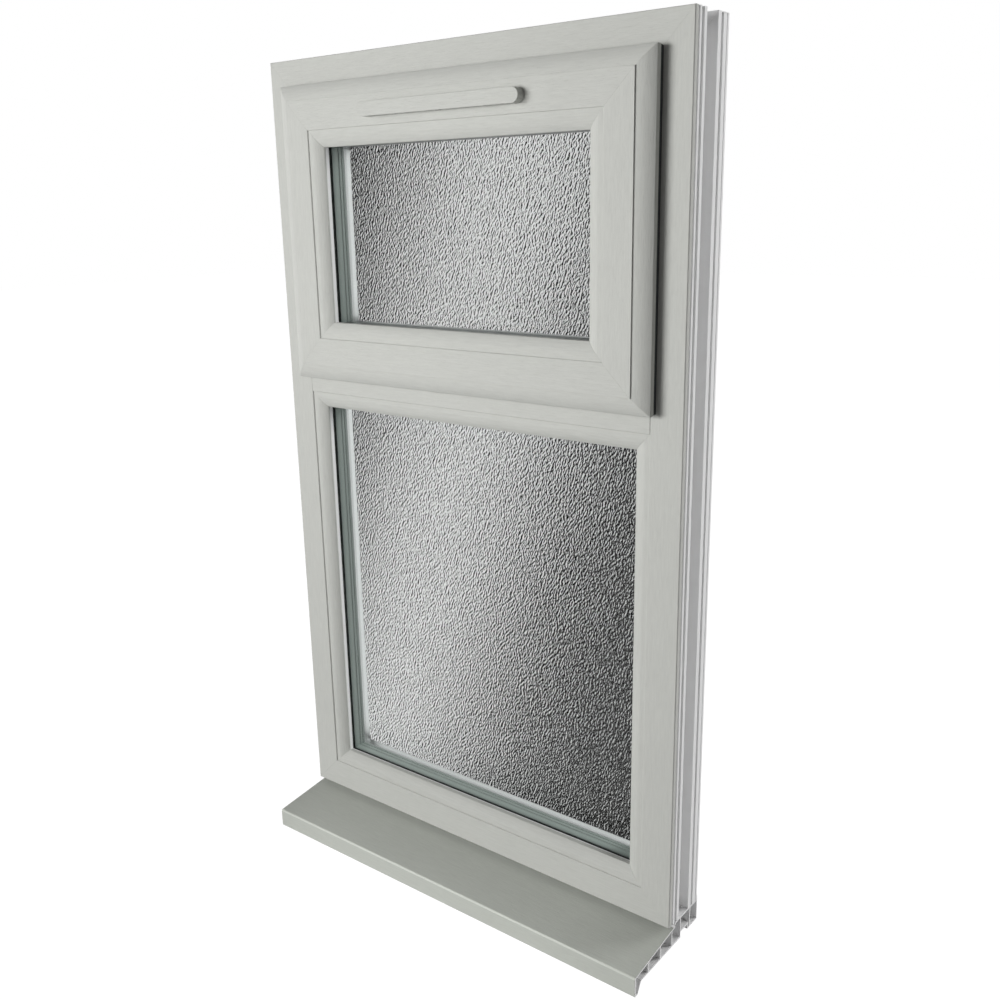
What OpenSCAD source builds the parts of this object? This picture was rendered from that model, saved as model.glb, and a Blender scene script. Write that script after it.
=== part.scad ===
// Top-hung window: an outward opening sash over a fixed light, one plastic frame on a stub cill.
// Millimetres, Z up, X to the right seen from outside, Y into the room.
// The origin is the middle of the flat bed under the cill.

/* [Outer frame] */
// Overall width of the outer frame
frame_w = 600; // [480:1:1200]
// Overall height of the outer frame
frame_h = 1010; // [900:1:1500]
// Depth of the outer frame profile
frame_d = 70; // [58:0.5:84]
// Flat face of the frame, from its outer edge to the rebate floor
face_w = 40; // [38:0.5:60]
// Height of the room side leg above the rebate floor
leg_h = 22; // [20:0.5:24]
// Thickness of the room side leg
leg_t = 10; // [9:0.5:12]
// Wall of the hollow plastic profiles
wall = 2.6; // [2.2:0.1:2.8]

/* [Transom] */
// Height of the middle of the transom above the foot of the frame
transom_z = 609.5; // [400:0.5:640]
// Width of the transom face
transom_w = 30; // [26:0.5:50]

/* [Sash] */
// Clear gap round the sash for stays and lock
hw_gap = 14; // [14:0.5:16]
// Overlap of the sash lip on the frame face
lip_over = 8; // [7:0.5:10]
// Gap between sash lip and frame face, filled by the seal
lip_gap = 7; // [5:0.5:8]
// How far the sash face stands out in front of the frame face
sash_proud = 23.5; // [22.5:0.5:26]
// Gap between sash back and room side leg, filled by the seal
rear_gap = 3.5; // [2.5:0.5:5]
// Width of the sash body between stay side and glazing floor
sash_body = 32.5; // [31:0.5:40]
// Height of the room side leg of the sash
sash_leg_h = 22; // [22:0.5:26]
// Thickness of the room side leg of the sash
sash_leg_t = 20; // [19.5:0.5:22]
// Width of the rounded outer moulding
ovolo_w = 19; // [16:0.5:20]
// Height of the rounded outer moulding
ovolo_h = 8.5; // [7:0.5:9.5]
// Small step beside the mouldings
face_step = 1.5; // [1:0.1:2]

/* [Glazing] */
// Thickness of each pane
pane_t = 4; // [3.5:0.5:4]
// Depth of the beads from the face to the outer gasket
bead_depth = 15; // [13:0.5:18]
// Outer cavity between panes compared with the inner one
cavity_ratio = 1.8; // [1:0.1:2]
// Clearance round the glass unit
edge_gap = 5; // [4:0.5:6]
// Width of the edge sealant
seal_w = 5; // [4:0.5:6]
// Width of the spacer bars
spacer_w = 8.5; // [6:0.5:10]
// Outer gasket between bead and glass
gasket_out = 3; // [2:0.5:4]
// Inner gasket between glass and leg
gasket_in = 2; // [1.5:0.5:3]
// Width of the glazing beads
bead_w = 20; // [19:0.5:22]
// Flat strip of the bead before its curve
bead_flat = 6; // [4:0.5:8]
// Depth of the bead curve
bead_curve = 6.5; // [5:0.5:7.5]

/* [Friction stays] */
// Depth of the stay pivots behind the frame face
stay_y = 16; // [15:0.5:18]
// Height of the apex that the sash turns about, above the head rebate
apex_over = 15; // [14:0.5:18]
// Long arm between its pivots
long_arm = 100; // [94:1:110]
// Short arm between its pivots
short_arm = 40; // [36:1:40]
// Width of arms and links
arm_w = 14; // [12:0.5:16]
// Radius of the stay pins
pin_r = 2.5; // [2:0.1:3]
// Running clearance of the pins on the radius
pin_clear = 0.05; // [0.03:0.01:0.1]
// Gap between the layers of a stay
layer_gap = 0.4; // [0.3:0.05:0.5]

/* [Lock and handle] */
// Height of the handle spindle above the lower edge of the sash body
backset = 24; // [23:0.5:25]
// Travel of the drive rail for a quarter turn of the handle
travel = 16; // [14:0.5:17]
// Distance of each locking cam from the middle
cam_x = 150; // [110:1:160]
// Length of the handle lever from its spindle
lever_len = 112; // [90:1:130]

/* [Trickle vent] */
// Length of the outside canopy
canopy_len = 233; // [180:1:240]
// Height of the outside canopy
canopy_h = 16; // [15:0.5:18]
// How far the canopy stands out
canopy_d = 11; // [9:0.5:14]

/* [Cill] */
// How far the cill nose stands out in front of the frame
cill_out = 78; // [60:1:130]
// Height of the bed below the frame foot
cill_drop = 30; // [29:0.5:40]
// Depth of the drip nose below the bed
nose_drop = 13.5; // [10:0.5:18]
// Wall of the cill
cill_wall = 2; // [1.6:0.1:2.2]

/* [Hidden] */
$fn = 48;
bead_back = bead_depth;
glass_y = bead_depth + gasket_out;
leg_y = frame_d - leg_t;
unit_t = leg_y - gasket_in - glass_y;
cavity_in = (unit_t - 3 * pane_t) / (1 + cavity_ratio);
cavity_out = unit_t - 3 * pane_t - cavity_in;
sash_y0 = -sash_proud;
sash_rear = leg_y - rear_gap;
sash_leg_y = sash_rear - sash_leg_t;
sash_glass_y = sash_leg_y - gasket_in - unit_t;
sash_bead_back = sash_glass_y - gasket_out - sash_y0;

floor_x = frame_w / 2 - face_w;
head_floor = frame_h - face_w;
tr_bot = transom_z - transom_w / 2;
tr_top = transom_z + transom_w / 2;

lip_x = floor_x + lip_over;
lip_bot = tr_top - lip_over;
lip_top = head_floor + lip_over;
u_side = lip_over + hw_gap;
u_floor = u_side + sash_body;
u_tip = u_floor + sash_leg_h;
side_x = lip_x - u_side;
side_bot = lip_bot + u_side;
side_top = lip_top - u_side;
glaze_x = lip_x - u_floor;
glaze_bot = lip_bot + u_floor;
glaze_top = lip_top - u_floor;

// The stay: arms pair up round an apex on the track line, so each turns by the sash angle
apex_z = head_floor + apex_over;
piv_c = apex_z - 2 * long_arm;
piv_e = piv_c + long_arm - short_arm;
piv_d = apex_z - long_arm;
piv_s = apex_z - 2 * short_arm;
piv_b = apex_z - short_arm;
bar_t = 2.8;
arm_t = 2;
arm_x = side_x + bar_t + layer_gap;
link_x = arm_x + arm_t + layer_gap;
track_x = link_x + arm_t + layer_gap;
track_w = 18;
track_base = 2;
base_x = floor_x - track_base;

// The lock: a pinion on the spindle moves a toothed rail
groove_hi = sash_rear - 2.5;
groove_lo = groove_hi - 16;
lock_y = (groove_hi + groove_lo) / 2;
spindle_z = side_bot + backset;
gear_n = 10;
gear_r = travel / (PI / 2);
gear_pitch = 2 * PI * gear_r / gear_n;
rail_z = side_bot + 3.4;
rail_t = 4;
handle_out = sash_rear + 31.5;
base_out = sash_rear + 10;

vent_z = lip_top - (ovolo_w + u_floor) / 2;
slot_x = canopy_len / 2 - 16;

bed_front = -cill_out + 14;
bed_rear = 30;
bed_shift = -(bed_front + bed_rear) / 2;

foil = [0.76, 0.77, 0.75];
white = [0.94, 0.94, 0.93];
steel = [0.66, 0.67, 0.69];
rubber = [0.07, 0.07, 0.08];
glass = [0.80, 0.86, 0.85, 0.45];
frost = [0.78, 0.79, 0.78];
teal = [0.42, 0.50, 0.50];
stainless = [0.78, 0.78, 0.76];
black = [0.12, 0.12, 0.13];

// Placement and profile bars

module site() translate([0, bed_shift, cill_drop]) children();

// A profile bar along X, its section as [inward, depth], mitred at both ends
module mitred(len, top, low = 0, y0 = -60, y1 = 120) {
  intersection() {
    rotate([0, -90, 0]) linear_extrude(len + 2 * low, center = true) children();
    translate([0, y1, 0]) rotate([90, 0, 0]) linear_extrude(y1 - y0)
      polygon([[-len / 2 - low, -low], [len / 2 + low, -low], [len / 2 - top, top], [-len / 2 + top, top]]);
  }
}

module at_bottom(z) translate([0, 0, z]) children();
module at_top(z) translate([0, 0, z]) mirror([0, 0, 1]) children();
module at_left(x, z) translate([-x, 0, z]) rotate([0, 90, 0]) children();
module at_right(x, z) mirror([1, 0, 0]) at_left(x, z) children();

// A box ring in the plane of the window: outer half width, bottom, top, ring width, depth range
module ring(hx, z0, z1, w, y0, y1) {
  difference() {
    translate([-hx, y0, z0]) cube([2 * hx, y1 - y0, z1 - z0]);
    translate([-hx + w, y0 - 1, z0 + w]) cube([2 * hx - 2 * w, y1 - y0 + 2, z1 - z0 - 2 * w]);
  }
}

module box(x0, x1, y0, y1, z0, z1) translate([x0, y0, z0]) cube([x1 - x0, y1 - y0, z1 - z0]);

// A round bar along X between two values of X
module xrod(r, x0, x1, y, z) translate([x0, y, z]) rotate([0, 90, 0]) cylinder(r = r, h = x1 - x0);
module yrod(r, y0, y1, x, z) translate([x, y0, z]) rotate([-90, 0, 0]) cylinder(r = r, h = y1 - y0);

// Sections

// Points of a moulding's round face: its width, its fall and its tilt at the flatter edge
function moulding(w, h, tilt) =
  let(steep = 2 * atan2(h, w) - tilt, r = w / (sin(steep) - sin(tilt)))
  [for (i = [0 : 18]) let(t = tilt + (steep - tilt) * i / 18)
    [r * (sin(t) - sin(tilt)), r * (cos(tilt) - cos(t))]];

module frame_section() {
  difference() {
    polygon([
      [0, 0.8], [0.8, 0], [face_w - 0.8, 0], [face_w, 0.8],
      [face_w, face_step + 3.5], [face_w - 3, face_step + 3.5], [face_w - 3, face_step + 6.8],
      [face_w, face_step + 6.8], [face_w, leg_y], [face_w + leg_h, leg_y],
      [face_w + leg_h, frame_d - 1.2], [face_w + leg_h - 1.2, frame_d], [0, frame_d],
      [0, frame_d - 3.5], [1.5, frame_d - 3.5], [1.5, frame_d - 5], [0, frame_d - 5],
      [0, frame_d - 12], [1.8, frame_d - 12], [1.8, frame_d - 16.5], [0, frame_d - 16.5],
      [0, frame_d - 23.5], [12, frame_d - 23.5], [12, 23.2], [0, 23.2],
      [0, 17.9], [2, 17.9], [2, 12.7], [0, 12.7], [0, 8.9], [2, 8.9], [2, 5.6], [0, 5.6]
    ]);
    translate([2 + wall, wall]) square([face_w - 5.6 - 2 - wall, 10 - wall]);
    translate([12 + wall, 12.6]) square([face_w - wall - 12 - wall, frame_d - 32.6]);
    translate([1.8 + wall, frame_d - 17.4]) square([face_w - 1.8 - 2 * wall, 17.4 - wall]);
    translate([face_w, leg_y + wall]) square([leg_h - wall, leg_t - 2 * wall]);
  }
}

module transom_section() {
  h = transom_w / 2;
  difference() {
    polygon([
      [-h, 0.8], [-h + 0.8, 0], [h - 0.8, 0], [h, 0.8], [h, leg_y], [h + leg_h, leg_y],
      [h + leg_h, frame_d - 1.2], [h + leg_h - 1.2, frame_d], [-h - leg_h + 1.2, frame_d],
      [-h - leg_h, frame_d - 1.2], [-h - leg_h, leg_y], [-h, leg_y],
      [-h, face_step + 6.8], [-h + 3, face_step + 6.8], [-h + 3, face_step + 3.5], [-h, face_step + 3.5]
    ]);
    translate([-h + 5.6, wall]) square([transom_w - 5.6 - wall, 10 - wall]);
    translate([-h + wall, 12.6]) square([transom_w - 2 * wall, frame_d - 32.6]);
    translate([-h + wall, frame_d - 17.4]) square([transom_w - 2 * wall, 17.4 - wall]);
    translate([h, leg_y + wall]) square([leg_h - wall, leg_t - 2 * wall]);
    translate([-h - leg_h + wall, leg_y + wall]) square([leg_h - wall, leg_t - 2 * wall]);
  }
}

module sash_section() {
  ye = sash_y0 + face_step + ovolo_h;
  face = moulding(ovolo_w, ovolo_h, 7);
  difference() {
    polygon(concat(
      [[0, -lip_gap]],
      [for (i = [18 : -1 : 0]) [ovolo_w - face[i][0], ye - ovolo_h + face[i][1]]],
      [[ovolo_w, sash_y0], [u_floor - 0.8, sash_y0], [u_floor, sash_y0 + 0.8],
       [u_floor, sash_y0 + face_step + 3.5], [u_floor - 3, sash_y0 + face_step + 3.5],
       [u_floor - 3, sash_y0 + face_step + 6.8], [u_floor, sash_y0 + face_step + 6.8],
       [u_floor, sash_leg_y], [u_tip, sash_leg_y], [u_tip, sash_rear - 1.2], [u_tip - 1.2, sash_rear],
       [u_side, sash_rear], [u_side, groove_hi], [u_side + 3, groove_hi], [u_side + 3, groove_hi - 1.5],
       [u_side + 11, groove_hi - 1.5], [u_side + 11, groove_lo + 1.5], [u_side + 3, groove_lo + 1.5],
       [u_side + 3, groove_lo], [u_side, groove_lo], [u_side, -lip_gap]]
    ));
    polygon([[4.5, -lip_gap - wall], [u_side - 1, -lip_gap - wall], [u_side - 1, ye - ovolo_h + wall],
             [12, ye - ovolo_h + wall + 1.4], [6.5, ye - 2.6], [4.5, ye - 0.5]]);
    translate([u_side + wall, sash_y0 + wall])
      square([sash_body - 5.6 - wall, -lip_gap - wall - sash_y0 - wall]);
    translate([u_side + wall, -lip_gap]) square([sash_body - 2 * wall, sash_leg_y - 2.5 + lip_gap]);
    translate([u_side + 11 + wall, sash_leg_y + wall])
      square([u_tip - u_side - 11 - 2 * wall, sash_leg_t - 2 * wall]);
  }
}

// Bead: 0 is the rebate floor, depth from the face it sits in
module bead_section(y0, back) {
  difference() {
    polygon(concat(
      [[0, y0 + face_step]],
      [for (p = moulding(bead_w - bead_flat, bead_curve, 8)) [bead_flat + p[0], y0 + face_step + p[1]]],
      [[bead_w, y0 + back], [0, y0 + back], [0, y0 + face_step + 6.5],
       [-2.7, y0 + face_step + 6.5], [-2.7, y0 + face_step + 3.8], [0, y0 + face_step + 3.8]]
    ));
    polygon([[1.8, y0 + face_step + 1.8], [bead_flat + 1, y0 + face_step + 1.8],
             [bead_w - 7, y0 + face_step + bead_curve * 0.32 + 1.8],
             [bead_w - 1.8, y0 + face_step + bead_curve + 1], [bead_w - 1.8, y0 + back - 1.8],
             [1.8, y0 + back - 1.8]]);
  }
}

function slope(y) = -18 + (y + cill_out) * (18 - 5.7) / (cill_out + 13);

module cill_section() {
  d = cill_drop;
  t = cill_wall;
  nf = -cill_out;
  nb = -d - nose_drop;
  difference() {
    polygon([
      [nf + 1, nb], [nf + 7.5, nb], [nf + 8, nb + 2], [bed_front, -d], [bed_rear, -d], [bed_rear, -d + 8],
      [47, -d + 8], [47, -d + 1.5], [frame_d + 1.5, -d + 1.5], [frame_d + 1.5, 5], [frame_d, 5],
      [frame_d, 0], [16, 0], [13, -5.7], [nf + 1.2, slope(nf + 1.2)], [nf, -19.4], [nf, nb + 1]
    ]);
    polygon([[nf + t, nb + t], [nf + 6.2, nb + t], [bed_front - 0.6, -d + t], [-49, -d + t],
             [-49, slope(-49) - t], [nf + t, slope(nf + t) - t]]);
    polygon([[-49 + t, -d + t], [-21, -d + t], [-21, slope(-21) - t], [-49 + t, slope(-49 + t) - t]]);
    polygon([[-21 + t, -d + t], [7, -d + t], [7, slope(7) - t], [-21 + t, slope(-21 + t) - t]]);
    polygon([[7 + t, -d + t], [bed_rear - t, -d + t], [bed_rear - t, -t], [17.2, -t], [14.2, slope(13) - t],
             [7 + t, slope(7 + t) - t]]);
    polygon([[bed_rear, -d + 8 + t], [49, -d + 8 + t], [49, -d + 1.5 + t], [51.5, -d + 1.5 + t],
             [51.5, -t], [bed_rear, -t]]);
    polygon([[51.5 + t, -d + 1.5 + t], [frame_d + 1.5 - t, -d + 1.5 + t], [frame_d + 1.5 - t, -t],
             [51.5 + t, -t]]);
  }
}

// Outer frame

module jamb_cuts() {
  for (z = track_screws) xrod(2, -floor_x - 20, -floor_x + 1, stay_y, z);
}
track_screws = [piv_c - 24, (piv_c + piv_s) / 2 - 20, piv_s + 30];

module frame_left_jamb() color(foil) site() difference() {
  at_left(frame_w / 2, frame_h / 2) mitred(frame_h, face_w + leg_h) frame_section();
  jamb_cuts();
}
module frame_right_jamb() color(foil) site() mirror([1, 0, 0]) difference() {
  at_left(frame_w / 2, frame_h / 2) mitred(frame_h, face_w + leg_h) frame_section();
  jamb_cuts();
}
module frame_head() color(foil) site() at_top(frame_h) mitred(frame_w, face_w + leg_h) frame_section();
module frame_bottom_rail() color(foil) site() at_bottom(0) mitred(frame_w, face_w + leg_h) frame_section();

module transom() color(foil) site() difference() {
  intersection() {
    translate([0, 0, transom_z]) rotate([0, -90, 0]) linear_extrude(2 * floor_x, center = true)
      transom_section();
    union() {
      box(-floor_x, floor_x, -1, leg_y, tr_bot - leg_h - 1, tr_top + leg_h + 1);
      box(-floor_x + leg_h, floor_x - leg_h, leg_y - 1, frame_d + 1, tr_bot - leg_h - 1, tr_top + leg_h + 1);
    }
  }
  for (p = keep_screws) translate([p[0], p[1], tr_top - 18]) cylinder(r = 2, h = 20);
}

// Steel channel, open toward the rebate floor
module steel_channel(u0, u1, y0, y1, len) {
  rotate([0, -90, 0]) linear_extrude(len, center = true)
    polygon([[u0, y0], [u1, y0], [u1, y0 + 2], [u0 + 2, y0 + 2], [u0 + 2, y1 - 2], [u1, y1 - 2], [u1, y1],
             [u0, y1]]);
}
module frame_reinforcement() color(steel) site() {
  u0 = 12 + wall;
  u1 = face_w - wall - 0.3;
  y0 = stay_y + 4;
  y1 = frame_d - 20;
  at_bottom(0) steel_channel(u0, u1, y0, y1, frame_w - 2 * face_w - 10);
  at_top(frame_h) steel_channel(u0, u1, y0, y1, frame_w - 2 * face_w - 10);
  at_left(frame_w / 2, frame_h / 2) steel_channel(u0, u1, y0, y1, frame_h - 2 * face_w - 10);
  at_right(frame_w / 2, frame_h / 2) steel_channel(u0, u1, y0, y1, frame_h - 2 * face_w - 10);
  translate([0, 0, transom_z]) steel_channel(-transom_w / 2 + wall, transom_w / 2 - wall - 0.3, y0,
                                             y1 - 6, 2 * floor_x - 20);
}

module cill() color(foil) site() rotate([90, 0, 90]) linear_extrude(frame_w, center = true) cill_section();

// Glass units: half width of the opening, its bottom and top, front of the unit, front of the leg

module pane(hx, z0, z1, y) box(-hx + edge_gap, hx - edge_gap, y, y + pane_t, z0 + edge_gap, z1 - edge_gap);
module spacer_ring(hx, z0, z1, y0, y1) {
  e = edge_gap + seal_w;
  difference() {
    ring(hx - e, z0 + e, z1 - e, spacer_w, y0, y1);
    ring(hx - e - spacer_w + 0.6, z0 + e + spacer_w - 0.6, z1 - e - spacer_w + 0.6, 2,
         (y0 + y1) / 2 - 0.6, (y0 + y1) / 2 + 0.6);
  }
}
module spacers(hx, z0, z1, y) {
  spacer_ring(hx, z0, z1, y + pane_t, y + pane_t + cavity_out);
  spacer_ring(hx, z0, z1, y + 2 * pane_t + cavity_out, y + 2 * pane_t + cavity_out + cavity_in);
}
module edge_seal(hx, z0, z1, y) {
  ring(hx - edge_gap, z0 + edge_gap, z1 - edge_gap, seal_w, y + pane_t, y + pane_t + cavity_out);
  ring(hx - edge_gap, z0 + edge_gap, z1 - edge_gap, seal_w, y + 2 * pane_t + cavity_out,
       y + 2 * pane_t + cavity_out + cavity_in);
}
module outer_gasket(hx, z0, z1, y) {
  i = bead_w - 0.3;
  ring(hx - i + 7, z0 + i - 7, z1 - i + 7, 7, y - gasket_out, y);
}
module inner_gasket(hx, z0, z1, y, leg) {
  i = leg - 0.8;
  ring(hx - i + 8, z0 + i - 8, z1 - i + 8, 8, y + unit_t, y + unit_t + gasket_in);
}
module packers(px, z0, y) {
  for (s = [-1, 1]) box(s * px - 40, s * px + 40, y + 1, y + unit_t - 1, z0, z0 + edge_gap);
}

module lower_outer_pane() color(glass) site() pane(floor_x, face_w, tr_bot, glass_y);
module lower_middle_pane() color(glass) site() pane(floor_x, face_w, tr_bot, glass_y + pane_t + cavity_out);
module lower_obscure_pane() color(frost) site()
  pane(floor_x, face_w, tr_bot, glass_y + 2 * pane_t + cavity_out + cavity_in);
module lower_spacers() color(teal) site() spacers(floor_x, face_w, tr_bot, glass_y);
module lower_edge_seal() color(rubber) site() edge_seal(floor_x, face_w, tr_bot, glass_y);
module lower_outer_gasket() color(rubber) site() outer_gasket(floor_x, face_w, tr_bot, glass_y);
module lower_inner_gasket() color(rubber) site() inner_gasket(floor_x, face_w, tr_bot, glass_y, leg_h);
module lower_packers() color(black) site() packers(floor_x * 0.6, face_w, glass_y);

module upper_outer_pane() color(glass) site() pane(glaze_x, glaze_bot, glaze_top, sash_glass_y);
module upper_middle_pane() color(glass) site()
  pane(glaze_x, glaze_bot, glaze_top, sash_glass_y + pane_t + cavity_out);
module upper_obscure_pane() color(frost) site()
  pane(glaze_x, glaze_bot, glaze_top, sash_glass_y + 2 * pane_t + cavity_out + cavity_in);
module upper_spacers() color(teal) site() spacers(glaze_x, glaze_bot, glaze_top, sash_glass_y);
module upper_edge_seal() color(rubber) site() edge_seal(glaze_x, glaze_bot, glaze_top, sash_glass_y);
module upper_outer_gasket() color(rubber) site() outer_gasket(glaze_x, glaze_bot, glaze_top, sash_glass_y);
module upper_inner_gasket() color(rubber) site()
  inner_gasket(glaze_x, glaze_bot, glaze_top, sash_glass_y, sash_leg_h);
module upper_packers() color(black) site() packers(glaze_x * 0.55, glaze_bot, sash_glass_y);

// Beads: mitred bars on the rebate floor

module bead(len, y0, back) mitred(len, bead_w, 2.7) bead_section(y0, back);
lower_h = tr_bot - face_w;
upper_h = glaze_top - glaze_bot;

module lower_bead_bottom() color(foil) site() at_bottom(face_w) bead(2 * floor_x, 0, bead_back);
module lower_bead_top() color(foil) site() at_top(tr_bot) bead(2 * floor_x, 0, bead_back);
module lower_bead_left() color(foil) site() at_left(floor_x, face_w + lower_h / 2) bead(lower_h, 0, bead_back);
module lower_bead_right() color(foil) site()
  at_right(floor_x, face_w + lower_h / 2) bead(lower_h, 0, bead_back);
module upper_bead_bottom() color(foil) site() at_bottom(glaze_bot) bead(2 * glaze_x, sash_y0, sash_bead_back);
module upper_bead_top() color(foil) site() at_top(glaze_top) bead(2 * glaze_x, sash_y0, sash_bead_back);
module upper_bead_left() color(foil) site()
  at_left(glaze_x, glaze_bot + upper_h / 2) bead(upper_h, sash_y0, sash_bead_back);
module upper_bead_right() color(foil) site()
  at_right(glaze_x, glaze_bot + upper_h / 2) bead(upper_h, sash_y0, sash_bead_back);

// Weather seals, the sash one on the back of the lip and the frame one on the room side leg

module frame_seal() color(rubber) site() {
  ring(side_x - 1, side_bot + 1, side_top - 1, 5, sash_rear + 1.8, leg_y);
  ring(side_x - 1.8, side_bot + 1.8, side_top - 1.8, 3.4, sash_rear + 0.3, sash_rear + 1.8);
}
module sash_seal() color(rubber) site() {
  ring(lip_x - 0.6, lip_bot + 0.6, lip_top - 0.6, 5.2, -lip_gap, -lip_gap / 2);
  ring(lip_x - 1, lip_bot + 1, lip_top - 1, 4, -lip_gap / 2, -0.3);
}

// Sash members

module bar_cuts() {
  for (z = bar_screws) xrod(2, -side_x - 1, -side_x + 16, stay_y, z);
}
bar_screws = [piv_d - 20, piv_d + 20, piv_b - 20];

module sash_left_stile() color(foil) site() difference() {
  at_left(lip_x, (lip_bot + lip_top) / 2) mitred(lip_top - lip_bot, u_tip) sash_section();
  bar_cuts();
}
module sash_right_stile() color(foil) site() mirror([1, 0, 0]) difference() {
  at_left(lip_x, (lip_bot + lip_top) / 2) mitred(lip_top - lip_bot, u_tip) sash_section();
  bar_cuts();
}
// The top rail is slotted for the trickle vent
module sash_top_rail() color(foil) site() difference() {
  at_top(lip_top) mitred(2 * lip_x, u_tip) sash_section();
  for (s = [-1, 1]) box(s > 0 ? 5 : -slot_x, s > 0 ? slot_x : -5, sash_y0 - 1, sash_rear + 1, vent_z - 4.5,
                        vent_z + 4.5);
}
// The bottom rail has the pocket of the lock case and the spindle hole
module sash_bottom_rail() color(foil) site() difference() {
  at_bottom(lip_bot) mitred(2 * lip_x, u_tip) sash_section();
  box(-22.3, 22.3, groove_lo + 1.5, groove_hi - 1.5, side_bot + 2, spindle_z + 14.5);
  yrod(6.5, groove_hi - 3, sash_rear + 1, 0, spindle_z);
}

// Steel in the stiles and the bottom rail, open toward the stays
module sash_reinforcement() color(steel) site() {
  u0 = u_side + wall + 0.4;
  u1 = u_floor - wall - 0.3;
  y0 = -lip_gap + 0.5;
  y1 = sash_leg_y - 3;
  at_bottom(lip_bot) translate([0, 0, u0 + u1]) mirror([0, 0, 1])
    steel_channel(u0, u1, y0, y1, 2 * glaze_x - 8);
  at_left(lip_x, (lip_bot + lip_top) / 2) translate([0, 0, u0 + u1]) mirror([0, 0, 1])
    steel_channel(u0, u1, y0, y1, upper_h - 8);
  at_right(lip_x, (lip_bot + lip_top) / 2) translate([0, 0, u0 + u1]) mirror([0, 0, 1])
    steel_channel(u0, u1, y0, y1, upper_h - 8);
}

// Friction stays, drawn on the right and mirrored to the left

module stadium(x0, x1, za, zb, r) {
  xrod(r, x0, x1, stay_y, za);
  xrod(r, x0, x1, stay_y, zb);
  box(x0, x1, stay_y - r, stay_y + r, za, zb);
}
module bore(z, x0, x1) xrod(pin_r + pin_clear, x0 - 1, x1 + 1, stay_y, z);

module stay_track() {
  z0 = piv_c - 34;
  z1 = piv_s + 40;
  r = track_w / 2;
  difference() {
    union() {
      box(base_x, floor_x, stay_y - r, stay_y + r, z0, z1);
      for (s = [-1, 1]) {
        box(track_x, floor_x, stay_y + s * (r - 0.6) - 0.6, stay_y + s * (r - 0.6) + 0.6, z0, z1);
        box(track_x, track_x + 1, stay_y + s * (r - 1.4) - 1.4, stay_y + s * (r - 1.4) + 1.4, z0, z1);
      }
      xrod(5, link_x, base_x, stay_y, piv_c);
      xrod(pin_r, arm_x - layer_gap - 0.6, link_x + 1, stay_y, piv_c);
      xrod(4.5, arm_x - layer_gap - 1.4, arm_x - layer_gap, stay_y, piv_c);
    }
    for (z = track_screws) {
      translate([base_x - 0.01, stay_y, z]) rotate([0, 90, 0])
        cylinder(r1 = 4, r2 = 2, h = track_base + 0.02);
    }
  }
}
module stay_track_right() color(stainless) site() stay_track();
module stay_track_left() color(stainless) site() mirror([1, 0, 0]) stay_track();

module long_arm_shape() {
  difference() {
    union() {
      stadium(arm_x, arm_x + arm_t, piv_c, piv_d, arm_w / 2);
      xrod(pin_r, arm_x, link_x + arm_t, stay_y, piv_e);
    }
    bore(piv_c, arm_x, arm_x + arm_t);
    bore(piv_d, arm_x, arm_x + arm_t);
  }
}
module long_arm_right() color(stainless) site() long_arm_shape();
module long_arm_left() color(stainless) site() mirror([1, 0, 0]) long_arm_shape();

module short_arm_shape() difference() {
  stadium(arm_x, arm_x + arm_t, piv_s, piv_b, arm_w / 2);
  bore(piv_s, arm_x, arm_x + arm_t);
  bore(piv_b, arm_x, arm_x + arm_t);
}
module short_arm_right() color(stainless) site() short_arm_shape();
module short_arm_left() color(stainless) site() mirror([1, 0, 0]) short_arm_shape();

module link_shape() difference() {
  stadium(link_x, link_x + arm_t, piv_e, piv_s, arm_w / 2);
  bore(piv_e, link_x, link_x + arm_t);
  bore(piv_s, link_x, link_x + arm_t);
}
module stay_links() color(stainless) site() {
  link_shape();
  mirror([1, 0, 0]) link_shape();
}

module slider_shape() {
  r = track_w / 2 - 1.6;
  box(track_x + 1.3, base_x - 0.3, stay_y - r, stay_y + r, piv_s - 12, piv_s + 12);
  xrod(4, track_x, track_x + 2, stay_y, piv_s);
  xrod(pin_r, arm_x, track_x + 1, stay_y, piv_s);
}
module stay_sliders() color(black) site() {
  slider_shape();
  mirror([1, 0, 0]) slider_shape();
}

module sash_bar() {
  difference() {
    union() {
      box(side_x, side_x + bar_t, stay_y - 8, stay_y + 8, piv_d - 28, min(piv_b + 9, side_top - 1));
      xrod(pin_r, side_x + 1, arm_x + arm_t, stay_y, piv_d);
      xrod(pin_r, side_x + 1, arm_x + arm_t, stay_y, piv_b);
    }
    for (z = bar_screws) {
      translate([side_x - 0.01, stay_y, z]) rotate([0, 90, 0]) cylinder(r1 = 2, r2 = 4, h = bar_t + 0.02);
    }
  }
}
module sash_bar_right() color(stainless) site() sash_bar();
module sash_bar_left() color(stainless) site() mirror([1, 0, 0]) sash_bar();

// Countersunk screw along X: head face at x, pointing to larger x
module screw_x(x, z, head) {
  translate([x, stay_y, z]) rotate([0, 90, 0]) {
    difference() {
      cylinder(r1 = 3.9, r2 = 1.9, h = head);
      translate([-2.5, -0.5, -1]) cube([5, 1, 1.8]);
      translate([-0.5, -2.5, -1]) cube([1, 5, 1.8]);
    }
    translate([0, 0, head]) cylinder(r = 1.9, h = 14);
  }
}
module frame_screws() color(steel) site() {
  for (z = track_screws) {
    screw_x(base_x, z, track_base);
    mirror([1, 0, 0]) screw_x(base_x, z, track_base);
  }
  for (p = keep_screws) translate([p[0], p[1], tr_top]) {
    difference() {
      cylinder(r1 = 1.9, r2 = 3.9, h = 2);
      translate([-2.5, -0.5, 1.2]) cube([5, 1, 2]);
    }
    translate([0, 0, -14]) cylinder(r = 1.9, h = 14);
  }
}
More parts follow.
